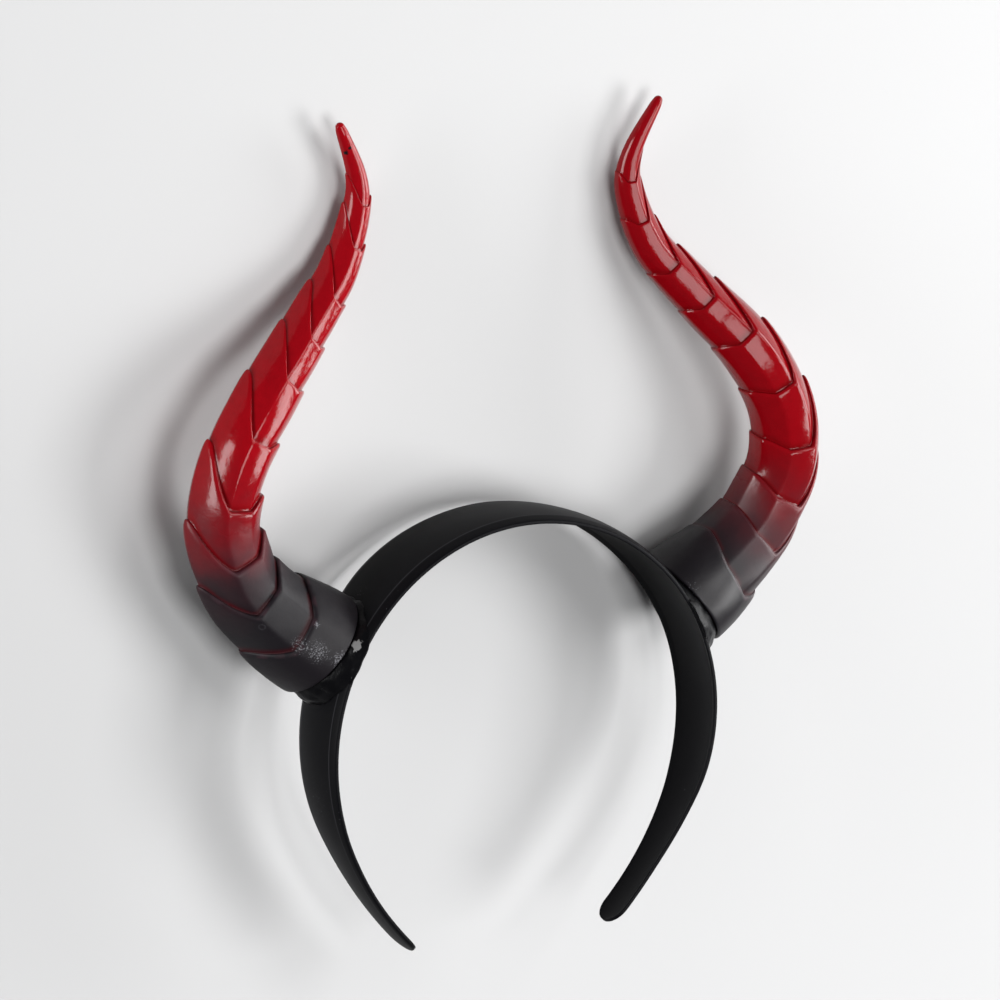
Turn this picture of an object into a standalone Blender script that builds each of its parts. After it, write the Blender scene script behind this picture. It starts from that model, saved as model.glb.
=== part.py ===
"""A costume headband with two curved, scaled horns, lying on its back as it rests by itself.

The pieces are modelled as the headband is worn: x to its right side, y to the back of the head, z up, with
the centre of the hoop at zero. One empty then lays all of them down, front side up.
"""
import math

import bmesh
import bpy
from mathutils import Matrix, Vector, noise

MM = 0.001
SHARP_ANGLE = math.radians(25)   # steeper edges are shaded sharp

# Hoop
BAND_RADIUS = 73.7 * MM          # to the outer edges of the round part
BAND_ROUND = math.radians(115)   # from the top of the hoop down to where a leg starts
BAND_LEG_RADIUS = 136 * MM
BAND_LEG = 50 * MM               # length of the straighter stretch of a leg
BAND_WALL = 1.4 * MM
BAND_WIDTH = 34 * MM             # at the top
BAND_TIP_WIDTH = 13.5 * MM
BAND_CROWN = 2.5 * MM            # the middle of the strip stands this far above its edges, at the top
BAND_FACET = math.radians(5)     # the hoop is faceted in steps of this angle
BAND_TIP_STEPS = 5
BAND_LAST_STEP = 0.06 * MM       # the last section stands this far before the end, so that it has a width

# The strip narrows from its width at the top to the one at a tip, and its legs run a little to the front.
# Both go by the share of the way from top to tip, the second in shares of half the width at the top
BAND_WIDTHS = (
    # way, width, forward
    (0.00, 1.00, 0.00),
    (0.25, 0.96, 0.02),
    (0.42, 0.72, 0.14),
    (0.56, 0.60, 0.16),
    (0.68, 0.45, 0.16),
    (0.78, 0.20, 0.14),
    (0.88, 0.03, 0.10),
    (1.00, 0.00, 0.08),
)

# Half of the strip's arched section, in shares of half its width and of its crown
BAND_SECTION = (
    # across, rise
    (1.00, 0.00),
    (0.72, 0.62),
    (0.30, 1.00),
)

# Horn
HORN_SEAT = math.radians(27.2)   # place of a horn's foot on the hoop, above its widest level
HORN_STAND_OFF = 5 * MM          # from the hoop's outer edges out to the middle of the horn's open foot
HORN_REACH = 38 * MM             # from the foot out to the widest point of the curve
HORN_RISE = 173 * MM             # from the foot up to the tip
HORN_SWAY = 8.5 * MM             # how far the curve swings to the back
HORN_RADIUS = 19 * MM            # at the foot
HORN_WALL = 2.0 * MM
HORN_TIP_RADIUS = 1.6 * MM
SCALE_LEAF = 20 * MM             # how far the longest scale's outer point leads its rim
SCALE_INNER_POINT = 5.5 * MM     # the same for the two short points on the inner side, at the foot
INNER_POINT_FADE = 0.6           # how much of it is lost on the way to the tip
SCALE_DIP = 2.1 * MM             # how far the lowest rims hang behind their place on the front
SCALE_LIP = 0.6 * MM             # rounding at a rim
SCALE_EMERGE = 0.94              # a scale's radius where it comes out of the one below
SCALE_RIM = 1.09                 # and at its own rim of full height, both as shares of the horn's radius
RIM_FALL = 0.03                  # what a rim's rounding takes from that share
FOOT_ROWS = (0.0, 0.5)           # rows of the lowest scale, by the share of its length
SCALE_ROWS = (0.12, 0.5)         # of the others
TIP_ROWS = (0.15, 0.35, 0.55, 0.75, 0.9)
TIP_TURNS = (15, 45, 70)         # degrees round the tip's end, from its side
COURSE_SAMPLES = 240             # steps in which the course is measured
FACET_BULGE = 0.45               # 0 is a flat-sided section, 1 a round one
HOLLOW_SHARE = 0.62              # the shell is hollow over this share of its length
HOLLOW_FIT = 0.89                # its hollow and wall take this share of the horn's radius
HOLLOW_STEPS = 9

# The horn's middle line and taper from foot to tip, in shares of reach, sway, rise and foot radius
HORN_COURSE = (
    # out, back, up, radius
    (0.00, 0.47, 0.000, 1.00),
    (0.64, 0.39, 0.109, 0.77),
    (0.89, 0.12, 0.193, 0.69),
    (1.00, -0.20, 0.278, 0.64),
    (0.90, -0.50, 0.388, 0.59),
    (0.60, -0.42, 0.496, 0.54),
    (0.26, 0.12, 0.579, 0.47),
    (-0.03, 0.58, 0.649, 0.41),
    (-0.27, 0.86, 0.714, 0.35),
    (-0.45, 1.00, 0.815, 0.27),
    (-0.45, 0.80, 0.892, 0.19),
    (-0.23, 0.39, 1.000, 0.09),
)

# The ten rims between scales, from foot to tip: place along the horn, then the outer leaf point, the front
# dip and the rim's height as shares of their sizes
SCALE_RIMS = (
    # way, leaf, dip, height
    (0.080, 0.33, 1.0, 0.50),
    (0.165, 0.55, 1.0, 0.75),
    (0.240, 0.70, 0.3, 1.00),
    (0.330, 0.85, 0.0, 1.25),
    (0.432, 0.96, 0.0, 1.00),
    (0.530, 1.00, 0.0, 1.00),
    (0.613, 1.00, 0.0, 1.00),
    (0.694, 0.92, 0.0, 1.00),
    (0.786, 0.76, 0.0, 1.00),
    (0.857, 0.60, 0.0, 1.00),
)

# The ridges of a section, turning from the outer side over the front. Each has its angle and its share of
# the horn's radius, at the foot and at the tip, its shares of leaf, inner point and dip, and the number of
# facets up to the next ridge
SCALE_RIDGES = (
    # foot degrees, tip degrees, foot radius, tip radius, leaf, inner point, dip, facets
    (4, -8, 1.10, 1.00, 1.0, 0.0, 0.0, 4),
    (60, 94, 1.06, 1.00, 0.0, 0.0, 1.0, 2),
    (105, 128, 1.00, 1.00, 0.0, 0.0, 0.5, 2),
    (156, 166, 1.00, 1.04, 0.0, 1.0, 0.3, 2),
    (204, 200, 0.95, 1.02, 0.0, 1.0, 0.6, 2),
    (255, 240, 0.96, 1.00, 0.0, 0.0, 0.5, 2),
    (300, 270, 1.00, 1.00, 0.0, 0.0, 1.0, 4),
)

# Glue seat
CLEARANCE = 0.3 * MM
GLUE_PLUG = 7 * MM               # how far the glue fills the horn
GLUE_ALONG = 17.5 * MM           # half its length on the hoop
GLUE_OVERHANG = 1.0 * MM         # how far it wraps past the strip's edges
GLUE_LUMP = 1.6 * MM
GLUE_LUMP_SIZE = 7 * MM
LUMP_PLACE = Vector((3.1, 7.7, 1.9))
GLUE_RIM = 0.88                  # the glue's least radius at the horn's rim, as a share of the horn's
GLUE_PLUG_SHARES = (1.0, 0.5, 0.0)
GLUE_SKIRT_SHARES = (0.35, 0.7)  # places of the rows between the horn's rim and the hoop
GLUE_SEAT_SHARES = (1.0, 0.8, 0.55, 0.27)

COLOURS = {
    # colour, roughness
    "band": ((0.010, 0.010, 0.012, 1.0), 0.35),
    "horn": ((0.38, 0.006, 0.012, 1.0), 0.2),
    "glue": ((0.012, 0.012, 0.013, 1.0), 0.45),
}


def clear_scene():
    for item in list(bpy.data.objects):
        bpy.data.objects.remove(item, do_unlink=True)


def material(kind):
    finish = bpy.data.materials.get(kind) or bpy.data.materials.new(kind)
    finish.use_nodes = True
    shader = finish.node_tree.nodes["Principled BSDF"]
    colour, roughness = COLOURS[kind]
    shader.inputs["Base Color"].default_value = colour
    shader.inputs["Roughness"].default_value = roughness
    shader.inputs["Metallic"].default_value = 0.0
    return finish


def add_object(name, mesh, kind):
    item = bpy.data.objects.new(name, mesh)
    mesh.materials.append(material(kind))
    bpy.context.collection.objects.link(item)
    return item


def mesh_from_loops(name, loops, start_pole=None, end_pole=None):
    """A closed skin over loops of points, ended by a pole or, without one, by a flat cap."""
    work = bmesh.new()
    rings = [[work.verts.new(point) for point in loop] for loop in loops]
    for ring, following in zip(rings, rings[1:]):
        for k in range(len(ring)):
            after = (k + 1) % len(ring)
            work.faces.new((ring[k], ring[after], following[after], following[k]))
    for ring, pole in ((rings[0], start_pole), (rings[-1], end_pole)):
        if pole is None:
            work.faces.new(ring)
            continue
        top = work.verts.new(pole)
        for k in range(len(ring)):
            work.faces.new((ring[k], ring[(k + 1) % len(ring)], top))
    bmesh.ops.recalc_face_normals(work, faces=work.faces)
    mesh = bpy.data.meshes.new(name)
    work.to_mesh(mesh)
    work.free()
    mesh.shade_smooth()
    mesh.set_sharp_from_angle(angle=SHARP_ANGLE)
    return mesh


def read_table(table, place):
    """A smooth reading of a table's other columns at a place in its first column."""
    last = len(table) - 1
    row = next((k for k in range(last) if place <= table[k + 1][0]), last - 1)
    before, low, high, after = (table[min(max(k, 0), last)] for k in range(row - 1, row + 3))
    span = high[0] - low[0]
    share = min((place - low[0]) / span, 1.0)
    values = []
    for previous, start, end, following in list(zip(before, low, high, after))[1:]:
        leaving = (end - previous) / (high[0] - before[0]) * span
        arriving = (following - start) / (after[0] - low[0]) * span
        values.append(start + leaving * share
                      + (3 * (end - start) - 2 * leaving - arriving) * share ** 2
                      + (2 * (start - end) + leaving + arriving) * share ** 3)
    return values


# Hoop

def band_length():
    return BAND_RADIUS * BAND_ROUND + BAND_LEG


def band_place(way):
    """Point on the hoop's outer edge line and the outward direction, a length away from the top."""
    side = math.copysign(1.0, way)
    turn = min(abs(way) / BAND_RADIUS, BAND_ROUND)
    outward = Vector((math.sin(turn), 0, math.cos(turn)))
    point = outward * BAND_RADIUS
    rest = abs(way) - BAND_RADIUS * BAND_ROUND
    if rest > 0:
        middle = point - outward * BAND_LEG_RADIUS
        turn += rest / BAND_LEG_RADIUS
        outward = Vector((math.sin(turn), 0, math.cos(turn)))
        point = middle + outward * BAND_LEG_RADIUS
    return Vector((side * point.x, 0, point.z)), Vector((side * outward.x, 0, outward.z))


def band_width(way):
    """The strip's width, with round ends, and how far its middle runs to the front."""
    spread, forward = read_table(BAND_WIDTHS, abs(way) / band_length())
    width = BAND_TIP_WIDTH + (BAND_WIDTH - BAND_TIP_WIDTH) * spread
    to_end = band_length() - abs(way)
    round_end = BAND_TIP_WIDTH / 2
    if to_end < round_end:
        width *= math.sqrt(max(0.0, 1 - (1 - to_end / round_end) ** 2))
    return width, forward * BAND_WIDTH / 2


def band_section(way, grow):
    """The arched section as a loop of points; grow thickens it on every side."""
    point, outward = band_place(way)
    width, forward = band_width(way)
    crown = BAND_CROWN * width / BAND_WIDTH
    back = Vector((0, 1, 0))
    half = width / 2 + grow
    shape = [(-across, rise) for across, rise in BAND_SECTION]
    shape += [(across, rise) for across, rise in reversed(BAND_SECTION)]
    outer = [point + back * (across * half - forward) + outward * (rise * crown + grow)
             for across, rise in shape]
    inner = [spot - outward * (BAND_WALL + 2 * grow) for spot in reversed(outer)]
    return outer + inner


def band_ways():
    """Places of the sections: even facets on the round part and the legs, closer ones at the round ends."""
    facet = BAND_RADIUS * BAND_FACET
    round_end = BAND_TIP_WIDTH / 2
    ways = []
    way = facet / 2
    while way < band_length() - round_end - facet / 2:
        ways.append(way)
        way += facet
    for step in range(BAND_TIP_STEPS):
        ways.append(band_length() - round_end * math.cos(step * math.pi / 2 / BAND_TIP_STEPS))
    ways.append(band_length() - BAND_LAST_STEP)
    return [-way for way in reversed(ways)] + ways


def band_mesh(name, grow):
    return mesh_from_loops(name, [band_section(way, grow) for way in band_ways()])


# Horns

def seat_outward():
    """Direction out of the hoop at a horn's seat."""
    return Vector((math.cos(HORN_SEAT), 0, math.sin(HORN_SEAT)))


def seat_way():
    """How far from the top of the hoop a horn sits."""
    return BAND_RADIUS * (math.pi / 2 - HORN_SEAT)


def foot_place():
    """Where a horn's course starts, in line with its seat."""
    return seat_outward() * (BAND_RADIUS + HORN_STAND_OFF)


class Course:
    """The horn's middle line, read by the length along it from the foot."""

    def __init__(self):
        foot = foot_place()
        table = [(k, *row) for k, row in enumerate(HORN_COURSE)]
        self.points = []
        self.radii = []
        self.ways = [0.0]
        for k in range(COURSE_SAMPLES + 1):
            out, back, up, radius = read_table(table, (len(table) - 1) * k / COURSE_SAMPLES)
            self.points.append(foot + Vector((out * HORN_REACH, back * HORN_SWAY, up * HORN_RISE)))
            self.radii.append(radius * HORN_RADIUS)
            if k:
                self.ways.append(self.ways[-1] + (self.points[k] - self.points[k - 1]).length)
        self.length = self.ways[-1]

    def read(self, way):
        """Point, direction to the tip and radius at a length from the foot."""
        way = min(max(way, 0.0), self.length)
        k = 1
        while k < len(self.ways) - 1 and self.ways[k] < way:
            k += 1
        step = self.ways[k] - self.ways[k - 1]
        share = (way - self.ways[k - 1]) / step
        low, high = max(k - 2, 0), min(k + 1, len(self.points) - 1)
        point = self.points[k - 1].lerp(self.points[k], share)
        radius = self.radii[k - 1] + share * (self.radii[k] - self.radii[k - 1])
        return point, (self.points[high] - self.points[low]).normalized(), radius


def section_columns():
    """For each column round the horn: its ridge, the next ridge and the share of the way between them."""
    columns = []
    for k, ridge in enumerate(SCALE_RIDGES):
        following = SCALE_RIDGES[(k + 1) % len(SCALE_RIDGES)]
        facets = ridge[7]
        columns += [(ridge, following, step / facets) for step in range(facets)]
    return columns


def column_shape(column, way_share, faceted):
    """Angle of a column at a share of the horn's length, and its share of the horn's radius."""
    ridge, following, share = column
    sizes = [row[2] + (row[3] - row[2]) * way_share for row in (ridge, following)]
    size = sizes[0] + (sizes[1] - sizes[0]) * share
    start = ridge[0] + (ridge[1] - ridge[0]) * way_share
    end = following[0] + (following[1] - following[0]) * way_share
    if end < start:
        end += 360
    middle = math.radians(end - start) / 2
    off_middle = math.radians(end - start) * share - middle
    flat = math.cos(middle) / math.cos(off_middle)
    bulge = 1 - faceted * (1 - FACET_BULGE)
    shape = (flat + (1 - flat) * bulge) * (1 + (size - 1) * faceted)
    return math.radians(start + (end - start) * share), shape


def rim_lead(column, rim):
    """How far a rim's edge runs ahead of the rim's place on this column."""
    ridge, following, share = column
    way, leaf, dip, _ = rim
    inner_point = SCALE_INNER_POINT * (1 - INNER_POINT_FADE * way)
    leads = [row[4] * leaf * SCALE_LEAF + row[5] * inner_point - row[6] * dip * SCALE_DIP
             for row in (ridge, following)]
    return leads[0] + share * (leads[1] - leads[0])


def horn_point(course, way, angle, radius_share):
    point, ahead, radius = course.read(way)
    back = Vector((0, 1, 0))
    back = (back - ahead * back.dot(ahead)).normalized()
    outer = back.cross(ahead)
    return point + (outer * math.cos(angle) - back * math.sin(angle)) * radius * radius_share


def scale_rows():
    """Rows of the outer skin: rim below, rim above, share of the way between them, shift and radius share."""
    rows = []
    rims = [None] + list(SCALE_RIMS) + [None]
    for below, above in zip(rims, rims[1:]):
        start = SCALE_EMERGE if below else 1.0
        end = 1 + (SCALE_RIM - 1) * above[3] if above else 1.0
        if below:
            rows.append((below, above, 0.0, -SCALE_LIP / 2, start))
        shares = FOOT_ROWS if below is None else TIP_ROWS if above is None else SCALE_ROWS
        rows += [(below, above, share, 0.0, start + (end - start) * share) for share in shares]
        if above:
            rows.append((below, above, 1.0, -SCALE_LIP, end))
            rows.append((below, above, 1.0, 0.0, end - RIM_FALL))
    return rows


def outer_loop(course, row):
    below, above, share, shift, radius_share = row
    loop = []
    for column in section_columns():
        low = below[0] * course.length + rim_lead(column, below) if below else 0.0
        high = above[0] * course.length + rim_lead(column, above) if above else course.length
        if above is None:
            high -= HORN_TIP_RADIUS
        way = low + share * (high - low) + shift
        way_share = way / course.length
        faceted = min(1.0, way_share / SCALE_RIMS[0][0]) * (1 if above else 1 - share)
        angle, shape = column_shape(column, way_share, faceted)
        loop.append(horn_point(course, way, angle, radius_share * shape))
    return loop


def tip_loops(course):
    """The rounded end past the last row."""
    loops = []
    for turn in TIP_TURNS:
        lean = math.radians(turn)
        way = course.length - HORN_TIP_RADIUS * (1 - math.sin(lean))
        _, _, radius = course.read(way)
        size = HORN_TIP_RADIUS * math.cos(lean) / radius
        loops.append([horn_point(course, way, column_shape(column, 1.0, 0.0)[0], size)
                      for column in section_columns()])
    return loops


def hollow_loop(course, way, clearance=0.0):
    """A loop of the horn's inner skin, or of what fits inside it with a clearance."""
    _, _, radius = course.read(way)
    share = way / course.length
    fit = 1 - (1 - HOLLOW_FIT) * min(1.0, share / SCALE_RIMS[0][0])
    size = fit - (HORN_WALL + clearance) / radius
    return [horn_point(course, way, column_shape(column, share, 0.0)[0], size) for column in section_columns()]


def horn_loops(course):
    """Loops from the end of the hollow down to the foot, then up the outer skin to the tip."""
    end = HOLLOW_SHARE * course.length
    hollow = [hollow_loop(course, end * (1 - k / HOLLOW_STEPS)) for k in range(HOLLOW_STEPS + 1)]
    outer = [outer_loop(course, row) for row in scale_rows()]
    return hollow + outer + tip_loops(course), course.read(end + HORN_WALL)[0]


def on_side(points, side):
    return [Vector((point.x * side, point.y, point.z)) for point in points]


def horn_mesh(name, side):
    course = Course()
    loops, hollow_pole = horn_loops(course)
    loops = [on_side(loop, side) for loop in loops]
    poles = on_side([hollow_pole, course.points[-1]], side)
    return mesh_from_loops(name, loops, poles[0], poles[1])


# Glue

def lump(point):
    """How far the glue swells at a point, from nothing to the height of a lump."""
    return GLUE_LUMP * (1 + noise.noise(point / GLUE_LUMP_SIZE + LUMP_PLACE)) / 2


def strip_rise(way, across):
    """Height of the strip's outer face above its edges, a distance across from its middle line."""
    width, _ = band_width(way)
    crown = BAND_CROWN * width / BAND_WIDTH
    share = abs(across) / (width / 2)
    for (outer, low), (inner, high) in zip(BAND_SECTION, BAND_SECTION[1:]):
        if share >= outer:
            return low * crown
        if share >= inner:
            return crown * (low + (high - low) * (outer - share) / (outer - inner))
    return crown


def seat_point(along, across):
    """A point in the middle of the strip's wall, by its distance from the middle of a horn's seat down the
    strip and by its share of the glue's half width across it."""
    way = seat_way() + along
    width, forward = band_width(way)
    across *= width / 2 + GLUE_OVERHANG
    turn = HORN_SEAT - along / BAND_RADIUS
    height = BAND_RADIUS + strip_rise(way, across) - BAND_WALL / 2
    return Vector((math.cos(turn) * height, across - forward, math.sin(turn) * height))


def seat_loops(course):
    """The glue's underside, which follows the strip in the middle of its wall, from its outline inwards."""
    foot, _, _ = course.read(0.0)
    back = Vector((0, 1, 0))
    downward = back.cross(seat_outward())
    loops = []
    for size in GLUE_SEAT_SHARES:
        loop = []
        for point in hollow_loop(course, 0.0):
            turn = math.atan2((point - foot).dot(back), (point - foot).dot(downward))
            reach = size * (1 + lump(point) / GLUE_ALONG)
            loop.append(seat_point(GLUE_ALONG * math.cos(turn) * reach, math.sin(turn) * reach))
        loops.append(loop)
    return loops


def glue_loops(course):
    """A plug inside the horn's foot, then a lumpy skirt down to the hoop."""
    plug = [hollow_loop(course, GLUE_PLUG * share, CLEARANCE) for share in GLUE_PLUG_SHARES]
    foot, ahead, _ = course.read(0.0)
    edge = [point - ahead * CLEARANCE for point in plug[-1]]
    rim = [foot - ahead * CLEARANCE + (point - foot).normalized() * (HORN_RADIUS * GLUE_RIM + lump(point))
           for point in plug[-1]]
    seat = seat_loops(course)
    skirt = []
    for share in GLUE_SKIRT_SHARES:
        spots = [high.lerp(low, share) for high, low in zip(rim, seat[0])]
        skirt.append([spot + (spot - foot).normalized() * lump(spot) for spot in spots])
    return plug + [edge, rim] + skirt + seat


def glue_mesh(name, side):
    course = Course()
    loops = [on_side(loop, side) for loop in glue_loops(course)]
    poles = on_side([course.read(GLUE_PLUG + HORN_WALL)[0], seat_point(0.0, 0.0)], side)
    return mesh_from_loops(name, loops, poles[0], poles[1])


def cut_for_band(item, cutter):
    cut = item.modifiers.new("band_clearance", "BOOLEAN")
    cut.operation = "DIFFERENCE"
    cut.solver = "EXACT"
    cut.object = cutter


# Resting place

def support_slope(points, balance):
    """Slope of the line under the points, seen from the side, that carries the height of balance."""
    chain = []
    for height, depth in sorted((point.z, point.y) for point in points):
        while len(chain) > 1:
            (h0, d0), (h1, d1) = chain[-2:]
            if (d1 - d0) * (height - h0) > (depth - d0) * (h1 - h0):
                break
            chain.pop()
        chain.append((height, depth))
    for (h0, d0), (h1, d1) in zip(chain, chain[1:]):
        if h0 <= balance <= h1:
            return (d1 - d0) / (h1 - h0)
    return 0.0


def balance_height(items):
    """Height of the centre of mass, taking every piece as the same plastic."""
    volume, moment = 0.0, 0.0
    for item in items:
        for triangle in item.data.loop_triangles:
            a, b, c = (item.data.vertices[index].co for index in triangle.vertices)
            piece = a.dot(b.cross(c)) / 6
            volume += piece
            moment += piece * (a.z + b.z + c.z) / 4
    return moment / volume


def lay_down(items):
    """Turns everything front side up and sets it on the ground, centred over the origin."""
    points = [vertex.co.copy() for item in items for vertex in item.data.vertices]
    lean = math.atan(support_slope(points, balance_height(items)))
    turn = Matrix.Rotation(lean - math.pi / 2, 4, "X")
    laid = [turn @ point for point in points]
    low = Vector([min(point[axis] for point in laid) for axis in range(3)])
    high = Vector([max(point[axis] for point in laid) for axis in range(3)])
    ground = bpy.data.objects.new("resting_frame", None)
    bpy.context.collection.objects.link(ground)
    ground.rotation_euler = turn.to_euler()
    ground.location = (-(low.x + high.x) / 2, -(low.y + high.y) / 2, -low.z)
    return ground


def build():
    clear_scene()
    band = add_object("band", band_mesh("band", 0.0), "band")
    cutter = add_object("band_cutter", band_mesh("band_cutter", CLEARANCE), "band")
    cutter.hide_render = True
    cutter.display_type = "WIRE"
    items = [band]
    for name, side in (("left", -1), ("right", 1)):
        items.append(add_object(f"horn_{name}", horn_mesh(f"horn_{name}", side), "horn"))
        glue = add_object(f"glue_{name}", glue_mesh(f"glue_{name}", side), "glue")
        cut_for_band(glue, cutter)
        items.append(glue)
    ground = lay_down(items)
    for item in items + [cutter]:
        item.parent = ground


build()
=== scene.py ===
# %% [markdown]
# A costume headband with two red and black horns, as it lies on its back on a table.
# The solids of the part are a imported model, the frame, and they stay where they are. This lesson builds a
# finer skin for each of them: the hoop, the two horns and the two lumps of glue that hold the horns.
# All skins are made in the worn position, where x runs to the right side, y to the back of the head and z
# up, with the middle of the hoop at zero. That is the easy way to think about a headband. One matrix then
# lays everything down on the floor.

import math

import bmesh
import bpy
import numpy as np
from mathutils import Matrix, Vector, noise


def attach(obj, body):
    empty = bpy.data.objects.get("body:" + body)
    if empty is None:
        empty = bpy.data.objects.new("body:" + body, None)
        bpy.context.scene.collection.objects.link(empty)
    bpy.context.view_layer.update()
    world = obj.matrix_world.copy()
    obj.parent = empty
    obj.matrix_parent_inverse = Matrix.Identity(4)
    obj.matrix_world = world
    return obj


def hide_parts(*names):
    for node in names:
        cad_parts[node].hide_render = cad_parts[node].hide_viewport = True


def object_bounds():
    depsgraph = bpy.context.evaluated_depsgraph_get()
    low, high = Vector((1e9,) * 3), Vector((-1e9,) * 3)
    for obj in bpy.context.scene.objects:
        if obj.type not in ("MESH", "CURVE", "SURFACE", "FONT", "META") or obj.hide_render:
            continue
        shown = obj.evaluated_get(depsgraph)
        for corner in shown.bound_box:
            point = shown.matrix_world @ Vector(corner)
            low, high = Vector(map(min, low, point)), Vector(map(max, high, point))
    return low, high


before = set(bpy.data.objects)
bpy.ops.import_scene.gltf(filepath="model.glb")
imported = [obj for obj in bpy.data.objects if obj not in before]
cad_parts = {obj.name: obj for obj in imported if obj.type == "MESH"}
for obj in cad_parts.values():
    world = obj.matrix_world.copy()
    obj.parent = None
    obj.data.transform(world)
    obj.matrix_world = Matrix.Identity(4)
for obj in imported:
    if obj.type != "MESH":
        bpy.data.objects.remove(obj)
CAD_BOX = [list(corner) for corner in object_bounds()]
MM = 0.001
print("nodes:", sorted(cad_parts))

# %% [markdown]
# Most forms here follow short tables: the strip of the hoop gets narrower from its top to its tips, and a
# horn bends and gets thinner from its foot to its tip. A table with a dozen rows is easy to change by hand,
# but straight lines between its rows would show as kinks in a glossy surface. So the tables are read with a
# cubic curve through their rows, whose slope at a row is the slope between its neighbours.

# %% Read a table smoothly
def read_table(table, place):
    """A smooth reading of a table's other columns at a place in its first column."""
    last = len(table) - 1
    row = next((k for k in range(last) if place <= table[k + 1][0]), last - 1)
    before, low, high, after = (table[min(max(k, 0), last)] for k in range(row - 1, row + 3))
    span = high[0] - low[0]
    share = min((place - low[0]) / span, 1.0)
    values = []
    for previous, start, end, following in list(zip(before, low, high, after))[1:]:
        leaving = (end - previous) / (high[0] - before[0]) * span
        arriving = (following - start) / (after[0] - low[0]) * span
        values.append(start + leaving * share
                      + (3 * (end - start) - 2 * leaving - arriving) * share ** 2
                      + (2 * (start - end) + leaving + arriving) * share ** 3)
    return values


print("a third of the way up a straight table:", read_table(((0, 0.0), (1, 1.0)), 1 / 3))


# %% [markdown]
# A skin is a row of closed loops of points, joined by quads. Both ends are closed by a fan to a pole. Quads
# in even rows matter here, because a subdivision surface turns them into smooth, glossy forms without dents.
# The mesh can carry numbers for its points, such as how far up the horn a point is, which the paint reads.

# %% Make a skin from loops
def skin_mesh(name, loops, poles, marks=None):
    """A closed mesh over loops of points; marks are numbers for each loop, by name."""
    size = len(loops[0])
    points = [tuple(point) for loop in loops for point in loop] + [tuple(pole) for pole in poles]
    faces = []
    for row in range(len(loops) - 1):
        for k in range(size):
            after = (k + 1) % size
            faces.append((row * size + k, row * size + after, (row + 1) * size + after, (row + 1) * size + k))
    start, end = len(points) - 2, len(points) - 1
    top = (len(loops) - 1) * size
    for k in range(size):
        after = (k + 1) % size
        faces.append((after, k, start))
        faces.append((top + k, top + after, end))
    mesh = bpy.data.meshes.new(name)
    mesh.from_pydata(points, [], faces)
    for mark, values in (marks or {}).items():
        layer = mesh.attributes.new(mark, "FLOAT", "POINT")
        spread = [value for row in values for value in row] + [values[0][0], values[-1][0]]
        layer.data.foreach_set("value", spread)
    work = bmesh.new()
    work.from_mesh(mesh)
    bmesh.ops.recalc_face_normals(work, faces=work.faces)
    work.to_mesh(mesh)
    work.free()
    mesh.shade_smooth()
    return mesh


def on_side(loops, side):
    """Loops of the right side, mirrored for the left one."""
    return [[Vector((point[0] * side, point[1], point[2])) for point in loop] for loop in loops]


# %% [markdown]
# The hoop of a cheap headband is one strip of moulded plastic, about 1.4 mm thick. It is wide on the top of
# the head and narrow at the ears, and it ends in two round tips. Its outer face is arched, and close to both
# edges a crease parts the arch from a flatter, steeper border, which catches the light in another way.
# It could be a curve with a bevel profile, but then its width couldn't change so freely. So each section is
# worked out by a function of the length from the top of the hoop.

# %% Sizes of the hoop
BAND_RADIUS = 73.7 * MM          # to the outer edges of the round part
BAND_ROUND = math.radians(115)   # from the top of the hoop down to where a leg starts
BAND_LEG_RADIUS = 136 * MM
BAND_LEG = 50 * MM               # length of the straighter stretch of a leg
BAND_WALL = 1.4 * MM
BAND_WIDTH = 34 * MM             # at the top
BAND_TIP_WIDTH = 13.5 * MM
BAND_CROWN = 2.5 * MM            # the middle of the strip stands this far above its edges, at the top
BAND_LENGTH = BAND_RADIUS * BAND_ROUND + BAND_LEG
BAND_STEP = 1.6 * MM             # between two sections
BAND_EDGE = 0.5 * MM             # rounding of the edges
BAND_CREASE = 0.80               # place of the crease, by its share of half the width
BAND_CREASE_RISE = 0.50          # height of the arch there, by its share of the crown
BAND_CREASE_SOFT = 0.008         # half the width of the crease's rounding
CORNER_TURNS = (90, 65, 40, 15)  # degrees round an edge

BAND_WIDTHS = (
    # way, width, forward
    (0.00, 1.00, 0.00),
    (0.25, 0.96, 0.02),
    (0.42, 0.72, 0.14),
    (0.56, 0.60, 0.16),
    (0.68, 0.45, 0.16),
    (0.78, 0.20, 0.14),
    (0.88, 0.03, 0.10),
    (1.00, 0.00, 0.08),
)
print(f"hoop: {2 * BAND_LENGTH / MM:.0f} mm of strip from tip to tip")


# %% Places along the hoop
def band_place(way):
    """Point on the hoop's outer edge line and the outward direction, a length away from the top."""
    side = math.copysign(1.0, way)
    turn = min(abs(way) / BAND_RADIUS, BAND_ROUND)
    outward = Vector((math.sin(turn), 0, math.cos(turn)))
    point = outward * BAND_RADIUS
    rest = abs(way) - BAND_RADIUS * BAND_ROUND
    if rest > 0:
        middle = point - outward * BAND_LEG_RADIUS
        turn += rest / BAND_LEG_RADIUS
        outward = Vector((math.sin(turn), 0, math.cos(turn)))
        point = middle + outward * BAND_LEG_RADIUS
    return Vector((side * point.x, 0, point.z)), Vector((side * outward.x, 0, outward.z))


def band_width(way):
    """The strip's width, with round ends, and how far its middle runs to the front."""
    spread, forward = read_table(BAND_WIDTHS, abs(way) / BAND_LENGTH)
    width = BAND_TIP_WIDTH + (BAND_WIDTH - BAND_TIP_WIDTH) * spread
    to_end = BAND_LENGTH - abs(way)
    round_end = BAND_TIP_WIDTH / 2
    if to_end < round_end:
        width *= math.sqrt(max(0.0, 1 - (1 - to_end / round_end) ** 2))
    return width, forward * BAND_WIDTH / 2


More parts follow.
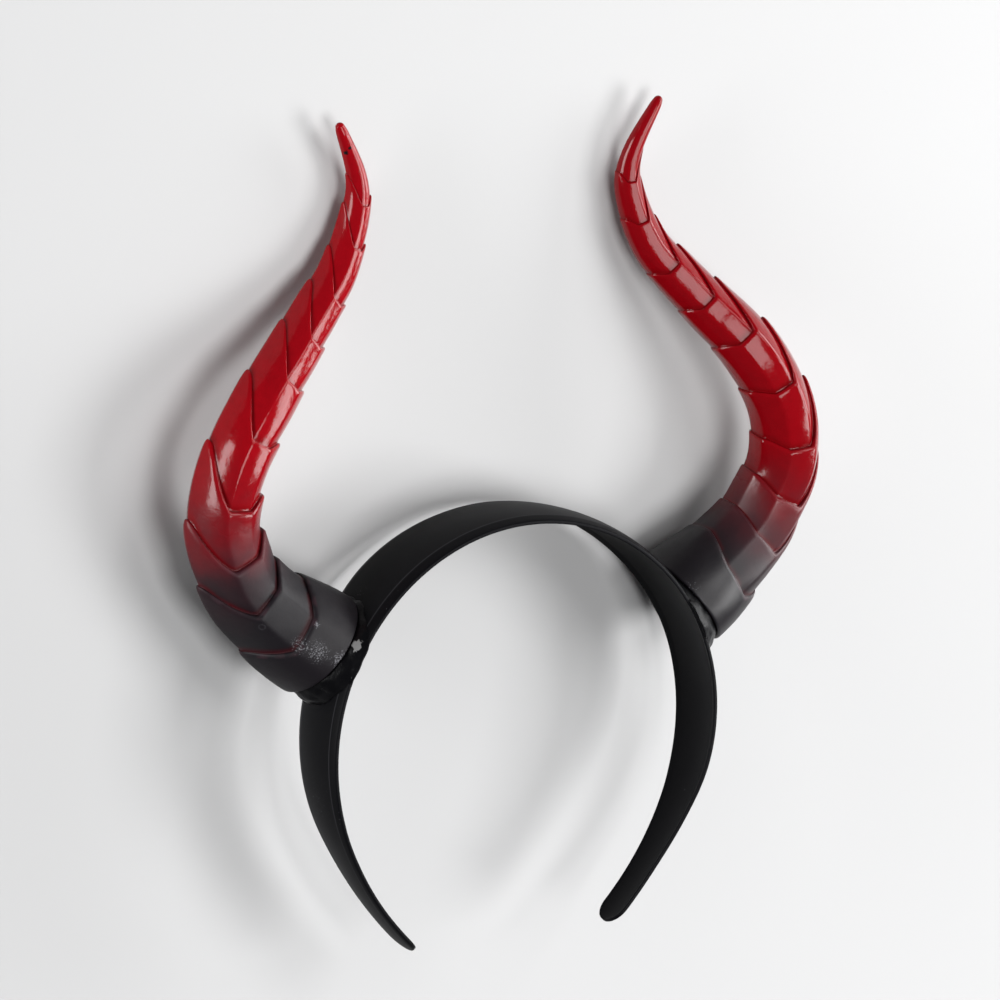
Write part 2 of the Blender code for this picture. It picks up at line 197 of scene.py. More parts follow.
def strip_rise(share):
    """Height of the arch by the share of half the width, with its crease."""
    share = abs(share)
    arch = 1 - (1 - BAND_CREASE_RISE) * (share / BAND_CREASE) ** 2
    border = BAND_CREASE_RISE * (1 - share) / (1 - BAND_CREASE)
    return arch if share < BAND_CREASE else border


print("a tip stands", round(-band_place(BAND_LENGTH)[0].z / MM, 1), "mm below the hoop's middle")


# %% [markdown]
# A section is one closed loop: over the arch, round one edge, back along the inner face and round the other
# edge. Points lie close together where the skin bends, at the edges and beside the crease, so that these
# stay crisp under smooth shading. The same function with a little growth gives the room that the strip
# takes up, which is cut out of the glue later.

# %% Build the hoop's skin
ARCH_SHARES = (0.93, 0.87, BAND_CREASE + 3 * BAND_CREASE_SOFT, BAND_CREASE + BAND_CREASE_SOFT,
               BAND_CREASE - BAND_CREASE_SOFT, BAND_CREASE - 3 * BAND_CREASE_SOFT, 0.7, 0.55, 0.38, 0.2)


def band_section(way, grow=0.0):
    """One closed loop round the strip; grow thickens it on every side."""
    point, outward = band_place(way)
    width, forward = band_width(way)
    to_end = BAND_LENGTH - abs(way)
    wall = BAND_WALL
    if to_end < BAND_EDGE:
        wall *= math.sqrt(1 - (1 - to_end / BAND_EDGE) ** 2)
    crown = BAND_CROWN * width / BAND_WIDTH
    half = width / 2
    edge = min(BAND_EDGE, 0.45 * half, 0.45 * wall)
    corner = [(half - edge * (1 - math.cos(math.radians(turn))), -edge * (1 - math.sin(math.radians(turn))))
              for turn in CORNER_TURNS]
    across_outer = [(-across, height) for across, height in reversed(corner)]
    flat = [share * (half - edge) for share in ARCH_SHARES]
    across_outer += [(-across, 0.0) for across in flat] + [(0.0, 0.0)]
    across_outer += [(across, 0.0) for across in reversed(flat)]
    across_outer += corner
    outer = []
    inner = []
    for across, height in across_outer:
        rise = strip_rise(min(abs(across) / half, 1)) * crown
        base = point + Vector((0, across - forward, 0)) + outward * rise
        sideways = Vector((0, math.copysign(grow, across), 0))
        outer.append(base + sideways + outward * (height + grow))
        inner.append(base + sideways - outward * (wall + height + grow))
    return outer + inner[::-1]


def band_ways():
    """Even steps down the legs, and closer ones where the tips are round."""
    round_end = BAND_TIP_WIDTH / 2
    straight = BAND_LENGTH - round_end
    count = round(straight / BAND_STEP)
    ways = [straight * (k + 0.5) / count for k in range(count)]
    ways += [straight + round_end * math.sin(math.radians(turn)) for turn in range(4, 76, 8)]
    ways += [BAND_LENGTH - left * MM for left in (0.22, 0.12, 0.05, 0.02)]
    return [-way for way in reversed(ways)] + ways


def band_skin(name, grow=0.0):
    loops = [band_section(way, grow) for way in band_ways()]
    ends = [sum(loop, Vector()) / len(loop) for loop in (loops[0], loops[-1])]
    # The crease mark places the strip's painted highlight along the crease.
    crease = [1.0 if abs(share - BAND_CREASE) < 2 * BAND_CREASE_SOFT else 0.0 for share in ARCH_SHARES]
    corner = [0.0] * len(CORNER_TURNS)
    outer = corner + crease + [0.0] + crease[::-1] + corner
    marks = [outer + [0.0] * len(outer)] * len(loops)
    return skin_mesh(name, loops, ends, {"crease": marks})


band = bpy.data.objects.new("band_skin", band_skin("band_skin"))
bpy.context.scene.collection.objects.link(band)
print("hoop:", len(band.data.polygons), "faces")

# %% [markdown]
# Each horn is a thin, hollow plastic shell. It curves like a cow's horn and looks as if it had grown in
# scales, each of which comes out of the one below. Ten of them end in a rounded lip, and the last is the
# tip. In section the horn has seven ridges, and on its outer side the lips run far ahead into leaf points.
# Sculpting that by hand twice would never give a mirrored pair. Here one course, read from a table, gives
# the middle line and the radius. Angles and leads of the ridges are added to it, and every scale is the same
# short loop of rows, so that a change of one number changes all of them.

# %% Sizes of the horns
HORN_SEAT = math.radians(27.2)   # place of a horn's foot on the hoop, above its widest level
HORN_STAND_OFF = 5 * MM          # from the hoop's outer edges out to the middle of the horn's open foot
HORN_REACH = 38 * MM             # from the foot out to the widest point of the curve
HORN_RISE = 173 * MM             # from the foot up to the tip
HORN_SWAY = 8.5 * MM             # how far the curve swings to the back
HORN_RADIUS = 19 * MM            # at the foot
HORN_WALL = 2.0 * MM
HORN_TIP_RADIUS = 1.6 * MM
SCALE_LEAF = 20 * MM             # how far the longest scale's outer point leads its rim
SCALE_INNER_POINT = 5.5 * MM     # the same for the two short points on the inner side, at the foot
INNER_POINT_FADE = 0.6           # how much of it is lost on the way to the tip
SCALE_DIP = 2.1 * MM             # how far the lowest rims hang behind their place on the front
SCALE_EMERGE = 0.94              # a scale's radius where it comes out of the one below
SCALE_RIM = 1.09                 # and at its own rim, both as shares of the horn's radius
COURSE_SAMPLES = 480
FACET_BULGE = 0.45               # 0 is a flat-sided section, 1 a round one
FACET_START = 0.14               # of the way: the facets are flat from here on

HORN_COURSE = (
    # out, back, up, radius
    (0.00, 0.47, 0.000, 1.00),
    (0.64, 0.39, 0.109, 0.77),
    (0.89, 0.12, 0.193, 0.69),
    (1.00, -0.20, 0.278, 0.64),
    (0.90, -0.50, 0.388, 0.59),
    (0.60, -0.42, 0.496, 0.54),
    (0.26, 0.12, 0.579, 0.47),
    (-0.03, 0.58, 0.649, 0.41),
    (-0.27, 0.86, 0.714, 0.35),
    (-0.45, 1.00, 0.815, 0.27),
    (-0.45, 0.80, 0.892, 0.19),
    (-0.23, 0.39, 1.000, 0.09),
)

SCALE_RIMS = (
    # way, leaf, dip, height
    (0.080, 0.33, 1.0, 0.50),
    (0.165, 0.55, 1.0, 0.75),
    (0.240, 0.70, 0.3, 1.00),
    (0.330, 0.85, 0.0, 1.25),
    (0.432, 0.96, 0.0, 1.00),
    (0.530, 1.00, 0.0, 1.00),
    (0.613, 1.00, 0.0, 1.00),
    (0.694, 0.92, 0.0, 1.00),
    (0.786, 0.76, 0.0, 1.00),
    (0.857, 0.60, 0.0, 1.00),
)

SCALE_RIDGES = (
    # foot degrees, tip degrees, foot radius, tip radius, leaf, inner point, dip, step
    (4, -8, 1.10, 1.00, 1.0, 0.0, 0.0, 0.70),
    (60, 94, 1.06, 1.00, 0.0, 0.0, 1.0, 1.10),
    (105, 128, 1.00, 1.00, 0.0, 0.0, 0.5, 1.00),
    (156, 166, 1.00, 1.04, 0.0, 1.0, 0.3, 0.85),
    (204, 200, 0.95, 1.02, 0.0, 1.0, 0.6, 0.38),
    (255, 240, 0.96, 1.00, 0.0, 0.0, 0.5, 0.38),
    (300, 270, 1.00, 1.00, 0.0, 0.0, 1.0, 0.60),
)
print(len(SCALE_RIMS), "rims and", len(SCALE_RIDGES), "ridges")


# %% Follow the horn's middle line
class Course:
    """The horn's middle line, read by the length along it from the foot."""

    def __init__(self):
        outward = Vector((math.cos(HORN_SEAT), 0, math.sin(HORN_SEAT)))
        foot = np.array(outward * (BAND_RADIUS + HORN_STAND_OFF))
        table = [(k, *row) for k, row in enumerate(HORN_COURSE)]
        places = np.linspace(0, len(table) - 1, COURSE_SAMPLES)
        rows = np.array([read_table(table, place) for place in places])
        self.points = foot + rows[:, :3] * (HORN_REACH, HORN_SWAY, HORN_RISE)
        self.radii = rows[:, 3] * HORN_RADIUS
        steps = np.linalg.norm(np.diff(self.points, axis=0), axis=1)
        self.ways = np.concatenate(([0.0], np.cumsum(steps)))
        self.length = self.ways[-1]
        self.heads = np.gradient(self.points, axis=0)

    def read(self, way):
        """Point, direction to the tip and radius at a length from the foot."""
        point = Vector([np.interp(way, self.ways, self.points[:, axis]) for axis in range(3)])
        ahead = Vector([np.interp(way, self.ways, self.heads[:, axis]) for axis in range(3)])
        return point, ahead.normalized(), float(np.interp(way, self.ways, self.radii))

    def at(self, way, angle, radius_share):
        """A point round the middle line."""
        point, ahead, radius = self.read(way)
        back = Vector((0, 1, 0))
        back = (back - ahead * back.dot(ahead)).normalized()
        outer = back.cross(ahead)
        return point + (outer * math.cos(angle) - back * math.sin(angle)) * radius * radius_share


course = Course()
print(f"horn: {course.length / MM:.1f} mm along its middle line")

# %% [markdown]
# A lip isn't a sharp step: the mould's edges are rounded, and the lacquer fills the corner under the lip. So
# each scale is drawn by many more rows than its plain solid has: a slow flare, a quarter round over the lip,
# a face that runs back under it, and a soft corner where the next scale comes out. Where a lip runs at a
# slant, as along a leaf, its rounding is stretched, so that it is as wide there as on the front.

# %% Rows of a scale
FINE_SHARES = (0.0, 0.10, 0.24, 0.41, 0.59, 0.76, 0.90)   # columns between two ridges
SCALE_SHARES = (0.04, 0.12, 0.23, 0.35, 0.48, 0.61, 0.74, 0.86, 0.95)
FOOT_SHARES = (0.06, 0.15, 0.3, 0.45, 0.6, 0.75, 0.88)
TIP_SHARES = (0.03, 0.08, 0.16, 0.26, 0.37, 0.48, 0.6, 0.72, 0.84, 0.94)
TIP_TURNS = (0, 20, 40, 58, 74, 85)   # degrees round the tip's end, from its side
LIP = 0.11                       # length of the rounding at a rim, by the horn's radius
LIP_FALL = 0.075                 # what the rounding takes from the rim's share of the radius
LIP_TURNS = (5, 28, 50, 70, 90)
UNDERCUT = 0.18                  # the corner under a lip lies this share of the lip's length behind its edge
CORNER_FILL = 0.026              # height of the lacquer in that corner, by the horn's radius
# Beyond the corner the relief mark fades out by these shares, and the painted shade of the corner fades with
# it.
CORNER_SPREAD = {0.04: 0.7, 0.12: 0.2}   # relief that the lacquer still has beyond the corner, by share
SWELL = 0.012                    # how far a scale bulges between its ends, by its radius
POINT_SOFT = 0.18                # rounding of the leaf points, as a share of the way to the next ridge
STEP_LIFT = 0.05                 # what a low step adds to the radius


def scale_rows():
    """Rows of the outer skin: rim below, rim above, share between them, shift in lips, radius share and
    relief, which is 1 in the corner under a lip and -1 on the lip."""
    rows = []
    rims = [None] + list(SCALE_RIMS) + [None]
    for below, above in zip(rims, rims[1:]):
        start = SCALE_EMERGE if below else 1.0
        end = 1 + (SCALE_RIM - 1) * above[3] if above else 1.0
        if below:
            rows.append((below, above, 0.0, -UNDERCUT, start + CORNER_FILL, 1.0))
            rows.append((below, above, 0.0, -UNDERCUT / 2, start, 1.0))
        shares = FOOT_SHARES if below is None else TIP_SHARES if above is None else SCALE_SHARES
        for share in shares:
            swell = SWELL * math.sin(math.pi * share)
            relief = CORNER_SPREAD.get(share, 0.0) if below else 0.0
            rows.append((below, above, share, 0.0, start + (end - start) * share + swell, relief))
        if above:
            for turn in LIP_TURNS:
                lean = math.radians(turn)
                relief = -math.sin(2 * lean) if lean < math.pi / 4 else -1.0
                fall = LIP_FALL * (1 - math.cos(lean))
                rows.append((below, above, 1.0, math.sin(lean), end - fall, relief))
    return rows


print(len(scale_rows()), "rows of the outer skin")

# %% [markdown]
# Round the horn the skin has columns: seven ridges, and some columns between each two. A ridge's angle, its
# share of the radius and the height of its steps change smoothly from the foot to the tip. Between two
# ridges the section is a flat facet that is blown up a little, so it is neither round nor cut with a knife.

# %% Columns round a horn
def section_columns():
    """For each column round the horn: its ridge, the next ridge and the share of the way between them."""
    columns = []
    for k, ridge in enumerate(SCALE_RIDGES):
        following = SCALE_RIDGES[(k + 1) % len(SCALE_RIDGES)]
        columns += [(ridge, following, share) for share in FINE_SHARES]
    return columns


def column_angles(column, way_share):
    """Angles of the two ridges beside a column, at a share of the horn's length."""
    ridge, following, _ = column
    start = ridge[0] + (ridge[1] - ridge[0]) * way_share
    end = following[0] + (following[1] - following[0]) * way_share
    return math.radians(start), math.radians(end + 360 if end < start else end)


def column_shape(column, way_share, faceted):
    """Angle of a column at a share of the horn's length, and its share of the horn's radius."""
    ridge, following, share = column
    sizes = [row[2] + (row[3] - row[2]) * way_share for row in (ridge, following)]
    size = sizes[0] + (sizes[1] - sizes[0]) * share
    start, end = column_angles(column, way_share)
    middle = (end - start) / 2
    off_middle = (end - start) * share - middle
    flat = math.cos(middle) / math.cos(off_middle)
    bulge = 1 - faceted * min(1.0, way_share / FACET_START) * (1 - FACET_BULGE)
    shape = (flat + (1 - flat) * bulge) * (1 + (size - 1) * faceted)
    return start + (end - start) * share, shape


def column_step(column):
    """Height of the steps at a column, as a share of their full height; it stays low for long at a leaf."""
    ridge, following, share = column
    blend = share ** 2 if following[7] > ridge[7] else 1 - (1 - share) ** 2
    return ridge[7] + (following[7] - ridge[7]) * blend


print(len(section_columns()), "columns round the horn")

# %% [markdown]
# A rim isn't a plain circle. On some ridges it runs ahead into a point and on others it hangs behind, and the
# lead of a rim is what that adds at a column. The point of a leaf is rounded by a hyperbola, whose slope is
# nothing at the ridge and steady further off.

# %% Leads of the rims
def soft_share(share):
    """A share that starts with no slope, which rounds a point."""
    full = math.hypot(1, POINT_SOFT) - POINT_SOFT
    return (math.hypot(share, POINT_SOFT) - POINT_SOFT) / full


def rim_lead(column, rim):
    """How far a rim's edge runs ahead of the rim's place on this column."""
    ridge, following, share = column
    way, leaf, dip, _ = rim
    inner_point = SCALE_INNER_POINT * (1 - INNER_POINT_FADE * way)
    leads = [row[4] * leaf * SCALE_LEAF + row[5] * inner_point - row[6] * dip * SCALE_DIP
             for row in (ridge, following)]
    if leads[0] > leads[1]:
        return leads[0] + (leads[1] - leads[0]) * soft_share(share)
    return leads[1] + (leads[0] - leads[1]) * soft_share(1 - share)


def lip_length(column, rim):
    """Length of the rounding along the horn, longer where the rim runs at a slant."""
    ridge, following, share = column
    way = rim[0] * course.length
    _, _, radius = course.read(way)
    start, end = column_angles(column, rim[0])
    low, high = max(share - 0.05, 0.0), min(share + 0.05, 1.0)
    rise = rim_lead((ridge, following, high), rim) - rim_lead((ridge, following, low), rim)
    slope = rise / ((high - low) * (end - start) * radius)
    return LIP * radius * math.hypot(1, slope)


longest = max(rim_lead(column, rim) for column in section_columns() for rim in SCALE_RIMS)
print(f"the longest leaf runs {longest / MM:.1f} mm ahead")

# %% [markdown]
# Now rows and columns meet. A point's place along the horn comes from the rims below and above it, its
# distance from the middle line from its row, its column and a little noise, as no casting is quite even.


# %% Loops of a horn
HOLLOW_SHARE = 0.62              # the shell is hollow over this share of its length
HOLLOW_FIT = 0.89                # its hollow and wall take this share of the horn's radius
HOLLOW_STEPS = 9
FOOT_ROUND = 0.7 * MM            # rounding of the shell's open end
FOOT_TURNS = (0, 30, 60, 90)
WOBBLE = 0.010                   # unevenness of the casting, by the radius
WOBBLE_SIZE = 9 * MM


def outer_loop(row):
    """Points of one row of the outer skin and how far up the horn each of them is."""
    below, above, share, shift, radius_share, _ = row
    tip_start = course.length - HORN_TIP_RADIUS
    loop, ways = [], []
    for column in section_columns():
        low = below[0] * course.length + rim_lead(column, below) if below else 0.0
        high = above[0] * course.length + rim_lead(column, above) if above else tip_start
        if shift < 0:
            way = low + shift * lip_length(column, below)
        else:
            lip = lip_length(column, above) if above else 0.0
            way = low + share * (high - lip - low) + shift * lip
        way_share = way / course.length
        faceted = min(1.0, way_share / SCALE_RIMS[0][0]) * (1 if above else 1 - share)
        angle, shape = column_shape(column, way_share, faceted)
        step = 1 + (column_step(column) - 1) * faceted
        size = 1 + (radius_share - 1) * step + (1 - step) * STEP_LIFT
        point = course.at(way, angle, size * shape)
        size *= 1 + WOBBLE * faceted * noise.noise(point / WOBBLE_SIZE)
        loop.append(course.at(way, angle, size * shape))
        ways.append(way_share)
    return loop, ways


# %% Loops of the hollow, the foot and the tip
def round_loop(way, radius):
    """A plain round loop, on the same columns."""
    _, _, full = course.read(way)
    return [course.at(way, column_shape(column, way / course.length, 0.0)[0], radius / full)
            for column in section_columns()]


def hollow_radius(way):
    _, _, radius = course.read(way)
    fit = 1 - (1 - HOLLOW_FIT) * min(1.0, way / course.length / SCALE_RIMS[0][0])
    return radius * fit - HORN_WALL


def horn_loops():
    """All loops of a horn, from the end of its hollow over its foot to its tip, with their marks."""
    size = len(section_columns())
    loops, ways, reliefs = [], [], []
    end = HOLLOW_SHARE * course.length
    for k in range(HOLLOW_STEPS):
        way = end + (FOOT_ROUND * 2 - end) * k / (HOLLOW_STEPS - 1)
        loops.append(round_loop(way, hollow_radius(way)))
    for turn in FOOT_TURNS:
        lean = math.radians(turn)
        loops.append(round_loop(FOOT_ROUND * (1 - math.sin(lean)),
                                HORN_RADIUS - HORN_WALL + FOOT_ROUND * (1 - math.cos(lean))))
    for turn in reversed(FOOT_TURNS):
        lean = math.radians(turn)
        loops.append(round_loop(FOOT_ROUND * (1 - math.sin(lean)),
                                HORN_RADIUS - FOOT_ROUND * (1 - math.cos(lean))))
    ways += [[0.0] * size] * len(loops)
    reliefs += [[0.0] * size] * len(loops)
    for row in scale_rows():
        loop, places = outer_loop(row)
        loops.append(loop)
        ways.append(places)
        reliefs.append([row[5]] * size)
    for turn in TIP_TURNS:
        lean = math.radians(turn)
        loops.append(round_loop(course.length - HORN_TIP_RADIUS * (1 - math.sin(lean)),
                                HORN_TIP_RADIUS * math.cos(lean)))
        ways.append([1.0] * size)
        reliefs.append([0.0] * size)
    return loops, ways, reliefs


# %% [markdown]
# The rows are coarse at first, and one level of a subdivision surface rounds them, which gives the lips and
# the soft facets of a casting. The left horn is the right one with x turned round, so the two match.

# %% Build both horns
def build_horn(name, side):
    loops, ways, reliefs = horn_loops()
    poles = [course.read(HOLLOW_SHARE * course.length + HORN_WALL)[0], Vector(course.points[-1])]
    mesh = skin_mesh(name, on_side(loops, side), on_side([poles], side)[0], {"way": ways, "relief": reliefs})
    horn = bpy.data.objects.new(name, mesh)
    bpy.context.scene.collection.objects.link(horn)
    smooth = horn.modifiers.new("smooth", "SUBSURF")
    smooth.levels = smooth.render_levels = 1
    return horn


horn_left = build_horn("horn_skin_left", -1)
horn_right = build_horn("horn_skin_right", 1)
print("one horn:", len(horn_left.data.polygons), "faces before smoothing")

# %% [markdown]
# The horns are stuck on with a generous dab of glue, which fills each open foot, spreads over the strip and
# wraps round its edges before it sets. A metaball could give such a blob, but it wouldn't meet the strip and
# the horn closely. So the dab starts as the tube between the two, noise swells it into soft lumps, and a
# Boolean takes away the strip's own room.

# %% Sizes of the glue
GLUE_PLUG = 7 * MM               # how far the glue fills the horn
GLUE_ALONG = 17.5 * MM           # half its length on the hoop
GLUE_OVERHANG = 1.0 * MM         # how far it wraps past the strip's edges
GLUE_LUMP = 1.6 * MM
GLUE_LUMP_SIZE = 7 * MM
GLUE_BEAD = 0.45 * MM            # height of the small lumps on the big ones
GLUE_BEAD_SIZE = 2.6 * MM
LUMP_PLACE = Vector((3.1, 7.7, 1.9))
GLUE_RIM = 0.88                  # the glue's least radius at the horn's rim, as a share of the horn's
GLUE_CONTACT = 0.03 * MM         # room between the glue and what it sticks to
GLUE_COLUMNS = 96
GLUE_SKIRT = 14                  # rows between the horn's rim and the hoop
GLUE_SEAT_SHARES = (1.0, 0.93, 0.8, 0.55, 0.27)


# %% Shape the glue
def lump(point):
    """How far the glue swells at a point."""
    big = GLUE_LUMP * (1 + noise.noise(point / GLUE_LUMP_SIZE + LUMP_PLACE)) / 2
    return big + GLUE_BEAD * noise.noise(point / GLUE_BEAD_SIZE - LUMP_PLACE)


def seat_point(along, across):
    """A point in the middle of the strip's wall, by its distance down the strip from the middle of a horn's
    seat and by its share of the glue's half width across it."""
    way = BAND_RADIUS * (math.pi / 2 - HORN_SEAT) + along
    width, forward = band_width(way)
    reach = across * (width / 2 + GLUE_OVERHANG)
    turn = HORN_SEAT - along / BAND_RADIUS
    crown = BAND_CROWN * width / BAND_WIDTH
    height = BAND_RADIUS + strip_rise(min(abs(reach) / (width / 2), 1)) * crown - BAND_WALL / 2
    return Vector((math.cos(turn) * height, reach - forward, math.sin(turn) * height))


def glue_ring(way, radius):
    _, _, full = course.read(way)
    return [course.at(way, 2 * math.pi * k / GLUE_COLUMNS, radius / full) for k in range(GLUE_COLUMNS)]


def glue_loops():
    foot, ahead, _ = course.read(0.0)
    across = Vector((0, 1, 0))
    downward = across.cross(Vector((math.cos(HORN_SEAT), 0, math.sin(HORN_SEAT))))
    loops = [glue_ring(way, hollow_radius(way) - GLUE_CONTACT) for way in (GLUE_PLUG, GLUE_PLUG / 2, 0.0)]
    plug_end = loops[-1]
    rim = [foot - ahead * GLUE_CONTACT + (point - foot).normalized() * (HORN_RADIUS * GLUE_RIM + lump(point))
           for point in plug_end]
    seats = []
    for size in GLUE_SEAT_SHARES:
        seat = []
        for point in plug_end:
            turn = math.atan2((point - foot).dot(across), (point - foot).dot(downward))
            reach = size * (1 + lump(point) / GLUE_ALONG)
            seat.append(seat_point(GLUE_ALONG * math.cos(turn) * reach, math.sin(turn) * reach))
        seats.append(seat)
    loops.append(rim)
    for step in range(1, GLUE_SKIRT):
        share = step / GLUE_SKIRT
        spots = [high.lerp(low, share) for high, low in zip(rim, seats[0])]
        swell = math.sin(math.pi * share) ** 0.5
        loops.append([spot + (spot - foot).normalized() * lump(spot) * swell for spot in spots])
    return loops + seats


print(len(glue_loops()), "loops of a dab")


# %% Build both dabs of glue
def build_glue(name, side, cutter):
    poles = [course.read(GLUE_PLUG + HORN_WALL)[0], seat_point(0.0, 0.0)]
    mesh = skin_mesh(name, on_side(glue_loops(), side), on_side([poles], side)[0])
    dab = bpy.data.objects.new(name, mesh)
    bpy.context.scene.collection.objects.link(dab)
    cut = dab.modifiers.new("strip", "BOOLEAN")
    cut.operation = "DIFFERENCE"
    cut.solver = "EXACT"
    cut.object = cutter
    shaped = bpy.data.meshes.new_from_object(dab.evaluated_get(bpy.context.evaluated_depsgraph_get()))
    dab.modifiers.clear()
    dab.data = shaped
    shaped.shade_smooth()
    return dab


strip_room = bpy.data.objects.new("strip_room", band_skin("strip_room", GLUE_CONTACT))
bpy.context.scene.collection.objects.link(strip_room)
glue_left = build_glue("glue_skin_left", -1, strip_room)
glue_right = build_glue("glue_skin_right", 1, strip_room)
bpy.data.objects.remove(strip_room, do_unlink=True)
print("one dab:", len(glue_left.data.polygons), "faces")

# %% [markdown]
# Now everything is laid down. By itself the headband comes to rest on its back: on the bend of its horns and
# on the rear edge of the strip. It leans a few degrees, and the lowest point of the skins touches the floor.

# %% Lay the pieces down
LEAN = math.radians(3.585)       # of the hoop's plane from the floor's, where it rests by itself
pieces = [band, horn_left, horn_right, glue_left, glue_right]
turn_down = Matrix.Rotation(-math.pi / 2 - LEAN, 4, "X")
laid_points = np.array([turn_down @ vertex.co for piece in pieces for vertex in piece.data.vertices])
middle = (laid_points.min(0) + laid_points.max(0)) / 2
cad_middle = (CAD_BOX[0][1] + CAD_BOX[1][1]) / 2
laid = Matrix.Translation((0, cad_middle - middle[1], -laid_points[:, 2].min())) @ turn_down
for piece in pieces:
    piece.data.transform(laid)
print("hoop's middle lies at", [round(value / MM, 2) for value in laid.translation], "mm")

# %% [markdown]
# The camera is set as for the worn headband: it looks from the front and its left, a little from above, with
# a long lens. Laying it down with the same matrix keeps it at the same angle to the headband.

# %% Set the camera
VIEW_TURN = math.radians(30)     # from straight in front, round to the side
VIEW_RISE = math.radians(11.44)
VIEW_DISTANCE = 2.448
VIEW_SPAN = 1 / 3                # metres across the picture, at the headband
VIEW_SENSOR = 36                 # mm
VIEW_HEIGHT = 77.9 * MM          # of the picture's middle above the hoop's
VIEW_DEPTH = 0.2 * MM
VIEW_SIDE = 0.006                # of the picture, how far the headband stands off its middle

from_side, from_front = math.sin(VIEW_TURN), math.cos(VIEW_TURN)
to_camera = Vector((-from_side * math.cos(VIEW_RISE), -from_front * math.cos(VIEW_RISE), math.sin(VIEW_RISE)))
rightward = Vector((from_front, -from_side, 0))
upward = to_camera.cross(rightward)
target = Vector((0, VIEW_DEPTH, VIEW_HEIGHT)) - rightward * VIEW_SIDE * VIEW_SPAN
turned = Matrix((rightward, upward, to_camera)).transposed().to_4x4()
lens = bpy.data.cameras.new("camera")
camera = bpy.data.objects.new("camera", lens)
bpy.context.scene.collection.objects.link(camera)
camera.matrix_world = laid @ Matrix.Translation(target + to_camera * VIEW_DISTANCE) @ turned
lens.sensor_width = VIEW_SENSOR
lens.lens = VIEW_SENSOR * VIEW_DISTANCE / VIEW_SPAN
lens.clip_start = 0.1
lens.clip_end = 20
bpy.context.scene.camera = camera
print("camera stands", round(camera.matrix_world.translation.z, 2), "m above the floor")

# %% [markdown]
# A finish is a material. Its patterns are sums and products of masks, and in the node editor those are long
# chains of Math nodes. Here one small class wraps a socket, so that `0.3 + 0.5 * mask` adds the nodes by
# itself. Every other node comes from one method, which sets its settings first and then its sockets.

# %% Write shader maths as expressions
class Signal:
    """One output socket of a finish; arithmetic with it adds Math nodes."""

    def __init__(self, finish, socket):
        self.finish = finish
        self.socket = socket

    def maths(self, operation, *values):
        return self.finish.node("ShaderNodeMath", {"operation": operation}, dict(enumerate(values)))

    def __add__(self, other):
        return self.maths("ADD", self, other)

    def __sub__(self, other):
        return self.maths("SUBTRACT", self, other)

    def __rsub__(self, other):
        return self.maths("SUBTRACT", other, self)

    def __mul__(self, other):
        return self.maths("MULTIPLY", self, other)

    __radd__ = __add__
    __rmul__ = __mul__

    def ramp(self, low, high):
        """0 below low, 1 above high, and a soft step between them; low may be the larger one."""
        return self.finish.node("ShaderNodeMapRange", {"interpolation_type": "SMOOTHSTEP"},
                                {"Value": self, "From Min": low, "From Max": high})


# %% [markdown]
# The second class holds one material: its nodes, its Principled shader, and the patterns that the finishes
# share. All patterns are placed by the object's own coordinates, so they stay on it from every side.

# %% Collect the nodes of a finish
class Finish:
    """A material with one Principled shader."""

    def __init__(self, name):
        self.material = bpy.data.materials.new(name)
        self.material.use_nodes = True
        self.tree = self.material.node_tree
        self.shader = self.tree.nodes["Principled BSDF"]
        self.place = self.node("ShaderNodeTexCoord", output="Object")

    def node(self, kind, settings=None, inputs=None, output=0):
        made = self.tree.nodes.new(kind)
        for name, value in (settings or {}).items():
            setattr(made, name, value)
        for name, value in (inputs or {}).items():
            self.feed(made.inputs[name], value)
        return Signal(self, made.outputs[output])

    def feed(self, socket, value):
        if isinstance(value, Signal):
            self.tree.links.new(value.socket, socket)
        else:
            socket.default_value = value

    def set(self, **sockets):
        """Sockets of the shader, with _ for the spaces in their names."""
        for name, value in sockets.items():
            self.feed(self.shader.inputs[name.replace("_", " ")], value)

    def mix(self, mask, below, above):
        """Two colours, mixed by a mask."""
        return self.node("ShaderNodeMix", {"data_type": "RGBA"}, {0: mask, 6: below, 7: above}, output=2)

    def noise(self, size, detail=2.0, roughness=0.5, stretch=(1, 1, 1)):
        """Smooth noise around 0.5, with lumps of about the given size."""
        place = self.node("ShaderNodeMapping", None, {"Vector": self.place, "Scale": stretch})
        return self.node("ShaderNodeTexNoise", None,
                         {"Vector": place, "Scale": 1 / size, "Detail": detail, "Roughness": roughness})

    def mark(self, name):
        """A number that the mesh carries for its points."""
        return self.node("ShaderNodeAttribute", {"attribute_name": name}, output="Fac")

    def distance(self, point):
        """How far the surface is from a point of the worn headband."""
        return self.node("ShaderNodeVectorMath", {"operation": "DISTANCE"},
                         {0: self.place, 1: laid @ Vector(point)}, output="Value")

    def bump(self, height, depth):
        """A height from 0 to 1, as a normal."""
        return self.node("ShaderNodeBump", None, {"Height": height, "Distance": depth, "Strength": 1.0})
